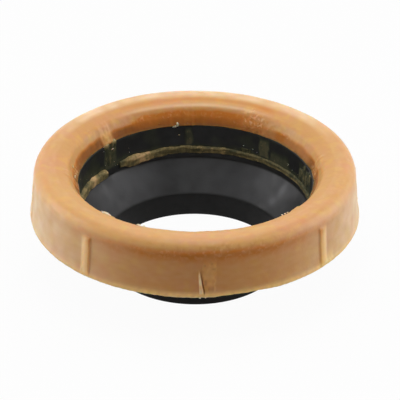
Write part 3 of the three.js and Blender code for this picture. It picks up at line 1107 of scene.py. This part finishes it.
def sculptBead(mesh):
    # Turned as a half round of 1 mm, then given its own size all along.
    points = readPoints(mesh)
    azimuth, radius, height = toRing(points)
    back = hornShape["collarRadius"] + beadShape["root"]
    knots = np.array(beadRun).T
    middle, half, proud, golden = [np.interp(azimuth, knots[0], knot) for knot in knots[1:]]
    along = fromRing(azimuth, radius * 0 + back, height * 0)
    thick = 1.0 + 0.28 * noiseAt(along, 9 * mm, 51) + 0.24 * noiseAt(along, 3 * mm, 52)
    tall = 1.0 + 0.18 * noiseAt(along, 6 * mm, 57) + 0.14 * noiseAt(along, 1.6 * mm, 58)
    sway = 0.25 * noiseAt(along, 13 * mm, 53) + 0.15 * noiseAt(along, 4 * mm, 54)
    up = height + 0.25 * noiseAt(along, 7 * mm, 61)
    ridges = bell(up - 0.62, 0.25) + 0.7 * bell(up + 0.70, 0.25) - 0.7 * bell(up, 0.32)
    height = middle + sway + height * half * tall
    inward = (back - radius) * thick * proud
    places = fromRing(azimuth, back - inward, height)
    small = noiseAt(places, 1.6 * mm, 55)
    onwards = (azimuth - beadShape["breakAzimuth"]) % 360.0
    # Streaks, drawn out along the bead because their noise is read at a third of the azimuth.
    drawn = noiseAt(fromRing(onwards * 0.3, back - inward, height), 0.8 * mm, 62)
    rough = 0.12 * small + 0.10 * noiseAt(places, 0.9 * mm, 56) + 0.12 * drawn
    inward += (rough + beadShape["ridge"] * ridges) * smoothStep(inward / 0.6)
    writePoints(mesh, fromRing(azimuth, back - inward, height))
    # Paler on its ridges and darker in the groove between them, painted highlight and shade.
    body = golden - 0.05 + 0.15 * noiseAt(places, 4 * mm, 60) + 0.05 * small + 0.14 * drawn + 0.05 * ridges
    for centre, spread, paler in beadBlobs:
        body += paler * bell(azimuthGap(azimuth, centre), spread)
    # On the right, painted shade under its lower edge, darker on its upper half, and a paler band just
    # below its middle.
    onRight = window(azimuth, 90.0, 175.0, 8.0, 15.0)
    body += onRight * (0.10 * bell(up + 0.35, 0.3) - 0.09 * smoothStep((up - 0.1) / 0.5)
                       - 0.30 * smoothStep((-up - 0.75) / 0.25))
    setLayer(mesh, "waxBody", body)


gapHalf = beadShape["breakWidth"] / 2
bead = turnedPiece("waxBead", beadOutline(), squeezedWax, beadShape["turnSteps"],
                   start=beadShape["breakAzimuth"] + gapHalf, sweep=360.0 - 2 * gapHalf)
sculptBead(bead.data)
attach(bead, "root")
print("bead:", len(bead.data.polygons), "faces")


# Thicker smears of wax down the collar, thin shells with ragged edges

# Body is how thick and golden the wax looks, lean how far its top stands to the right,
# and tan how much more golden it gets towards the lip.
smearMarks = namedRows("azimuth width low high thick body lean tan", [
    (-128.4, 3.4, 10.0, 15.2, 0.45, 0.55, 0.4, 0.30),
    (-132.4, 4.0, 8.0, 15.2, 0.42, 0.52, -0.2, 0.26),
    (-130.6, 5.2, 2.6, 12.4, 0.24, 0.47, -0.5, 0.05),
    (-39.5, 6.0, 1.5, 14.2, 0.50, 0.52, 0.0, 0.05),
    (48.7, 6.0, 1.5, 14.2, 0.50, 0.52, 0.0, 0.05),
    (97.5, 2.2, 7.5, 13.3, 0.60, 0.57, -0.4, 0.05),
    (100.5, 2.3, 6.0, 13.3, 0.60, 0.54, -0.6, 0.05),
    (104.6, 2.3, 0.5, 11.5, 0.55, 0.56, -0.8, 0.05),
    (108.3, 2.6, 2.4, 13.0, 0.50, 0.52, -0.6, 0.05),
    (112.8, 3.3, 2.0, 9.4, 0.45, 0.54, -0.8, 0.05),
    (153.0, 6.0, 2.2, 5.4, 0.35, 0.48, 0.0, 0.05),
])
smearShape = {
    "columns": 40,
    "rows": 56,
    "root": 0.25,            # how far their back goes into the collar
    "ragged": 0.55,
    "drawn": 0.22,           # streaks down them
    "edge": 0.10,
    "lipHeight": 13.8,       # above the collar they lean back into the ring
    "lipSlope": 1.25,
    "tanHeight": 11.5,
}


def smearShell(mark, seed):
    # A front sheet, and a back sheet inside the collar's wall, that share their outer edge.
    columns, rows = smearShape["columns"], smearShape["rows"]
    across, up = np.meshgrid(np.linspace(-1, 1, columns), np.linspace(-1, 1, rows))
    across, up = across.ravel(), up.ravel()
    reach = across * (mark["width"] / 2 + 0.5) + mark["lean"] * up
    azimuth = mark["azimuth"] + np.degrees(reach / hornShape["collarRadius"])
    height = mark["low"] + (mark["high"] - mark["low"]) * (up + 1) / 2
    overLip = np.maximum(0.0, height - smearShape["lipHeight"])
    radius = hornShape["collarRadius"] + smearShape["lipSlope"] * overLip
    places = fromRing(azimuth, radius, height)
    ragged = noiseAt(places, 2.0 * mm, seed) + 0.6 * noiseAt(places, 0.9 * mm, seed + 1)
    drawn = noiseAt(fromRing(azimuth, radius, height * 0.2), 1.1 * mm, seed + 2)
    hill = 1 - np.abs(across) ** 2.5 - np.where(up < 0, np.abs(up) ** 3, np.abs(up) ** 9)
    hill += smearShape["ragged"] * ragged + smearShape["drawn"] * drawn
    thick = mark["thick"] * np.clip(hill, -1, 1.4) - smearShape["edge"]
    border = (np.abs(across) > 0.999) | (np.abs(up) > 0.999)
    root = smearShape["root"]
    front = fromRing(azimuth, radius - np.where(border, -root, np.maximum(thick, -root * 0.8)), height)
    behind = fromRing(azimuth, radius + root, height)
    number = np.arange(rows * columns)
    inner = np.where(border, number, number + rows * columns)
    faces = []
    for row in range(rows - 1):
        for column in range(columns - 1):
            corner = row * columns + column
            quad = (corner, corner + 1, corner + 1 + columns, corner + columns)
            faces.append(quad)
            faces.append(tuple(int(inner[i]) for i in reversed(quad)))
    shade = mark["body"] * (0.45 + 0.55 * np.clip(hill, 0, 1)) + 0.07 * drawn + 0.08 * ragged
    shade += mark["tan"] * smoothStep((height - smearShape["tanHeight"]) / 2.8)
    return np.concatenate([front, behind]), faces, np.concatenate([shade, shade])


def makeSmears():
    points, faces, shades = [], [], []
    for seed, mark in enumerate(smearMarks):
        newPoints, newFaces, newShades = smearShell(mark, 70 + 3 * seed)
        start = sum(len(group) for group in points)
        faces += [tuple(i + start for i in face) for face in newFaces]
        points.append(newPoints)
        shades.append(newShades)
    mesh = bpy.data.meshes.new("waxSmears")
    mesh.from_pydata(np.concatenate(points).tolist(), [], faces)
    setLayer(mesh, "waxBody", np.concatenate(shades))
    shape = bmesh.new()
    shape.from_mesh(mesh)
    bmesh.ops.delete(shape, geom=[v for v in shape.verts if not v.link_faces], context="VERTS")
    bmesh.ops.recalc_face_normals(shape, faces=shape.faces)
    shape.to_mesh(mesh)
    shape.free()
    mesh.shade_smooth()
    mesh.materials.append(squeezedWax)
    return addObject("waxSmears", mesh)


smears = makeSmears()
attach(smears, "root")
print("smears:", len(smears.data.polygons), "faces")


# Crumbs scattered over the lip and the collar, and the larger chips one by one

crumbs = [
    {"name": "lipCrumbs", "surface": waxRing, "density": 0.6e6,
     "smallest": 0.15, "largest": 0.60, "seed": 4},
    {"name": "collarCrumbs", "surface": horn, "density": 0.14e6,
     "smallest": 0.10, "largest": 0.30, "seed": 9},
]
# A chip's place is its azimuth, radius and height, and its size how wide, deep and tall it is.
chips = namedRows("place size turn", [
    ((-170.6, 48.7, 14.3), (0.9, 0.6, 1.9), 10),
    ((-169.2, 48.5, 13.5), (1.9, 0.5, 0.8), 12),
    ((-171.4, 48.2, 9.4), (0.6, 0.3, 0.3), 0),
    ((-132.2, 48.0, 10.7), (1.1, 0.5, 0.5), 20),
    ((149.0, 48.3, 5.9), (0.6, 0.25, 0.25), 0),
    ((154.4, 48.3, 6.5), (0.5, 0.25, 0.25), 10),
    ((124.6, 48.3, 6.2), (0.25, 0.2, 0.5), 0),
    ((-126.2, 48.4, 13.6), (0.7, 0.5, 0.5), 0),
    ((-40.8, 53.1, 21.30), (4.8, 1.2, 0.55), 3),
    ((-24.2, 53.1, 21.3), (1.6, 0.9, 0.4), -3),
    ((-21.8, 53.1, 21.3), (1.0, 0.7, 0.3), 0),
    ((40.6, 53.0, 21.25), (0.9, 0.7, 0.3), 5),
    ((42.2, 53.0, 21.25), (0.8, 0.6, 0.32), 0),
    ((43.8, 53.0, 21.2), (0.7, 0.5, 0.28), -5),
    ((-94.6, 50.9, 17.6), (1.0, 0.8, 1.9), 12),
    ((-89.0, 49.7, 15.5), (0.8, 0.7, 1.6), -14),
    ((1.9, 67.9, 0.1), (0.8, 0.6, 0.9), 15),
    ((3.8, 67.9, 0.2), (0.9, 0.5, 0.6), -10),
    ((-78.5, 67.6, 15.0), (0.35, 0.3, 0.8), 5),
])


def crumbTree():
    # Small lumps thrown over the object's own faces, thickest where crumbShare is high.
    tree = nodeTree("crumbScatter", [
        ("Density", "NodeSocketFloat", 1e6),
        ("Smallest", "NodeSocketFloat", 0.0002),
        ("Largest", "NodeSocketFloat", 0.0005),
        ("Seed", "NodeSocketInt", 1),
        ("Material", "NodeSocketMaterial", None),
    ])
    given = addNode(tree, "NodeGroupInput").outputs
    share = addNode(tree, "GeometryNodeInputNamedAttribute", {"Name": "crumbShare"}, data_type="FLOAT")
    density = mathNode(tree, "MULTIPLY", share.outputs["Attribute"], given["Density"])
    spots = addNode(tree, "GeometryNodeDistributePointsOnFaces", {
        "Mesh": given["Geometry"], "Density": density, "Seed": given["Seed"]})
    ball = addNode(tree, "GeometryNodeMeshIcoSphere", {"Radius": 0.5, "Subdivisions": 2})
    dents = addNode(tree, "ShaderNodeTexNoise", {"Scale": 2.2, "Detail": 2.0})
    place = addNode(tree, "GeometryNodeInputPosition").outputs[0]
    pull = mathNode(tree, "SUBTRACT", dents.outputs["Fac"], 0.35)
    dented = mathNode(tree, "SCALE", place, kind="ShaderNodeVectorMath")
    tree.links.new(pull, dented.node.inputs["Scale"])
    lump = addNode(tree, "GeometryNodeSetPosition", {"Geometry": ball.outputs["Mesh"], "Offset": dented})
    turn = addNode(tree, "FunctionNodeRandomValue", {1: (2 * math.pi,) * 3, "Seed": given["Seed"]},
                   data_type="FLOAT_VECTOR")
    size = addNode(tree, "FunctionNodeRandomValue", {0: given["Smallest"], 1: given["Largest"],
                   "Seed": mathNode(tree, "ADD", given["Seed"], 1.0)}, data_type="FLOAT_VECTOR")
    placed = addNode(tree, "GeometryNodeInstanceOnPoints", {
        "Points": spots.outputs["Points"], "Instance": lump.outputs[0],
        "Rotation": turn.outputs[0], "Scale": size.outputs[0]})
    endTree(tree, placed.outputs[0], given["Material"])
    return tree


def makeChips():
    shape = bmesh.new()
    for seed, chip in enumerate(chips):
        made = bmesh.ops.create_icosphere(shape, subdivisions=3, radius=0.5)["verts"]
        azimuth, radius, height = chip["place"]
        place = Vector(fromRing(np.array([azimuth]), np.array([radius]), np.array([height]))[0])
        tilt = math.radians(chip["turn"])
        turn = Euler((tilt, tilt, math.radians(azimuth))).to_matrix()
        for vert in made:
            rough = 1 + 0.6 * noise.noise(vert.co * 3.0 + Vector((seed * 5.1, 0, 0)))
            local = Vector([vert.co[i] * rough * chip["size"][i] * mm for i in range(3)])
            vert.co = place + turn @ local
    mesh = bpy.data.meshes.new("waxChips")
    shape.to_mesh(mesh)
    shape.free()
    mesh.shade_smooth()
    mesh.materials.append(paleWax)
    return addObject("waxChips", mesh)


crumbScatter = crumbTree()
for crumb in crumbs:
    scattered = addObject(crumb["name"], crumb["surface"].data.copy())
    runNodes(scattered, crumbScatter, density=crumb["density"], smallest=crumb["smallest"] * mm,
             largest=crumb["largest"] * mm, seed=crumb["seed"], material=paleWax)
    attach(scattered, "root")
    print(crumb["name"] + ":", len(scattered.data.polygons), "faces")
waxChips = makeChips()
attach(waxChips, "root")
print("chips:", len(waxChips.data.polygons), "faces")


# Floor, light and camera

studio = {
    "floorSize": 6.0,
    "floorBounce": 0.55,     # how pale the floor is where it throws light on the object
    "floorMirror": 0.75,     # and where it shows in a reflection
    "shadowShare": 0.04,     # how much of the object's shadow the white floor keeps
    "mirrorShare": 0.15,
    "roomLevel": 0.03,       # light from ahead of the object
    "backdropLevel": 0.55,   # light from behind and beside it
    "backdropStart": -0.75,  # how far ahead, from -1 to 1, the backdrop starts to brighten
    "backdropFull": 0.15,
    "aim": (0.0, 0.0, 0.03),
    "lamps": namedRows("name power width height place", [
        ("topLamp", 2.5, 0.5, 0.5, (0.0, 0.14, 0.85)),
        ("frontLamp", 1.9, 0.6, 0.3, (0.0, -0.27, 0.85)),
        ("leftLamp", 3.8, 0.6, 0.6, (-0.75, 0.10, 0.24)),
        ("rightLamp", 3.8, 0.6, 0.6, (0.75, 0.10, 0.24)),
    ]),
}


def floorMaterial():
    material, tree = newMaterial("paleFloor")
    path = addNode(tree, "ShaderNodeLightPath").outputs
    mirrored = mathNode(tree, "MAXIMUM", path["Is Glossy Ray"], path["Is Transmission Ray"])
    share = mathNode(tree, "MAXIMUM",
                     mathNode(tree, "MULTIPLY", path["Is Camera Ray"], 1.0 - studio["shadowShare"]),
                     mathNode(tree, "MULTIPLY", mirrored, studio["mirrorShare"]))
    paleness = rangeNode(tree, mirrored, atLow=studio["floorBounce"], atHigh=studio["floorMirror"])
    matt = addNode(tree, "ShaderNodeBsdfDiffuse", {"Color": paleness})
    white = addNode(tree, "ShaderNodeEmission", {"Color": (1, 1, 1, 1), "Strength": 1.0})
    mixed = addNode(tree, "ShaderNodeMixShader", {0: share, 1: matt.outputs[0], 2: white.outputs[0]})
    addNode(tree, "ShaderNodeOutputMaterial", {"Surface": mixed.outputs[0]})
    return material


def makeFloor():
    half = studio["floorSize"] / 2
    mesh = bpy.data.meshes.new("floor")
    corners = [(-half, -half, 0), (half, -half, 0), (half, half, 0), (-half, half, 0)]
    mesh.from_pydata(corners, [], [(0, 1, 2, 3)])
    mesh.materials.append(floorMaterial())
    floor = addObject("floor", mesh)


def makeWorld():
    # White to the camera. The light comes from a white backdrop behind and beside the object,
    # and the room ahead of it is dark.
    world = bpy.data.worlds.new("studio")
    world.use_nodes = True
    tree = world.node_tree
    tree.nodes.clear()
    direction = addNode(tree, "ShaderNodeTexCoord").outputs["Generated"]
    ahead = addNode(tree, "ShaderNodeSeparateXYZ", {0: direction}).outputs["Y"]
    behind = rangeNode(tree, ahead, studio["backdropStart"], studio["backdropFull"])
    path = addNode(tree, "ShaderNodeLightPath").outputs
    mirrored = mathNode(tree, "MAXIMUM", path["Is Glossy Ray"], path["Is Transmission Ray"])
    level = rangeNode(tree, behind, atLow=studio["roomLevel"], atHigh=studio["backdropLevel"])
    seen = mathNode(tree, "MAXIMUM", path["Is Camera Ray"], mathNode(tree, "MULTIPLY", mirrored, behind))
    strength = mathNode(tree, "MAXIMUM", level, seen)
    light = addNode(tree, "ShaderNodeBackground", {"Color": (1, 1, 1, 1), "Strength": strength})
    addNode(tree, "ShaderNodeOutputWorld", {"Surface": light.outputs[0]})
    scene.world = world


def makeLamp(name, power, width, height, place):
    lamp = bpy.data.lights.new(name, "AREA")
    lamp.energy = power
    lamp.shape = "RECTANGLE"
    lamp.size = width
    lamp.size_y = height
    holder = addObject(name, lamp)
    holder.location = place
    holder.rotation_euler = (Vector(studio["aim"]) - Vector(place)).to_track_quat("-Z", "Y").to_euler()


view = {
    "elevation": 30.23,      # degrees above the horizon
    "distance": 0.822,
    "aimHeight": 4.39,       # above the wax underside
    "across": 2.06,          # how far the camera stands to the right of the middle
    "roll": 0.33,
    "focalLength": 177.8,
    "sensor": 36.0,
}


def makeCamera():
    camera = bpy.data.cameras.new("camera")
    camera.lens = view["focalLength"]
    camera.sensor_width = view["sensor"]
    tilt = math.radians(view["elevation"])
    holder = addObject("camera", camera)
    holder.location = (view["across"] * mm, -view["distance"] * math.cos(tilt),
                       (waxBase + view["aimHeight"]) * mm + view["distance"] * math.sin(tilt))
    aim = Euler((math.pi / 2 - tilt, 0.0, 0.0)).to_matrix()
    holder.rotation_euler = (aim @ Matrix.Rotation(math.radians(view["roll"]), 3, "Z")).to_euler()
    scene.camera = holder


makeFloor()
makeWorld()
for lamp in studio["lamps"]:
    makeLamp(**lamp)
makeCamera()
scene.view_settings.view_transform = "Standard"
print("studio ready")
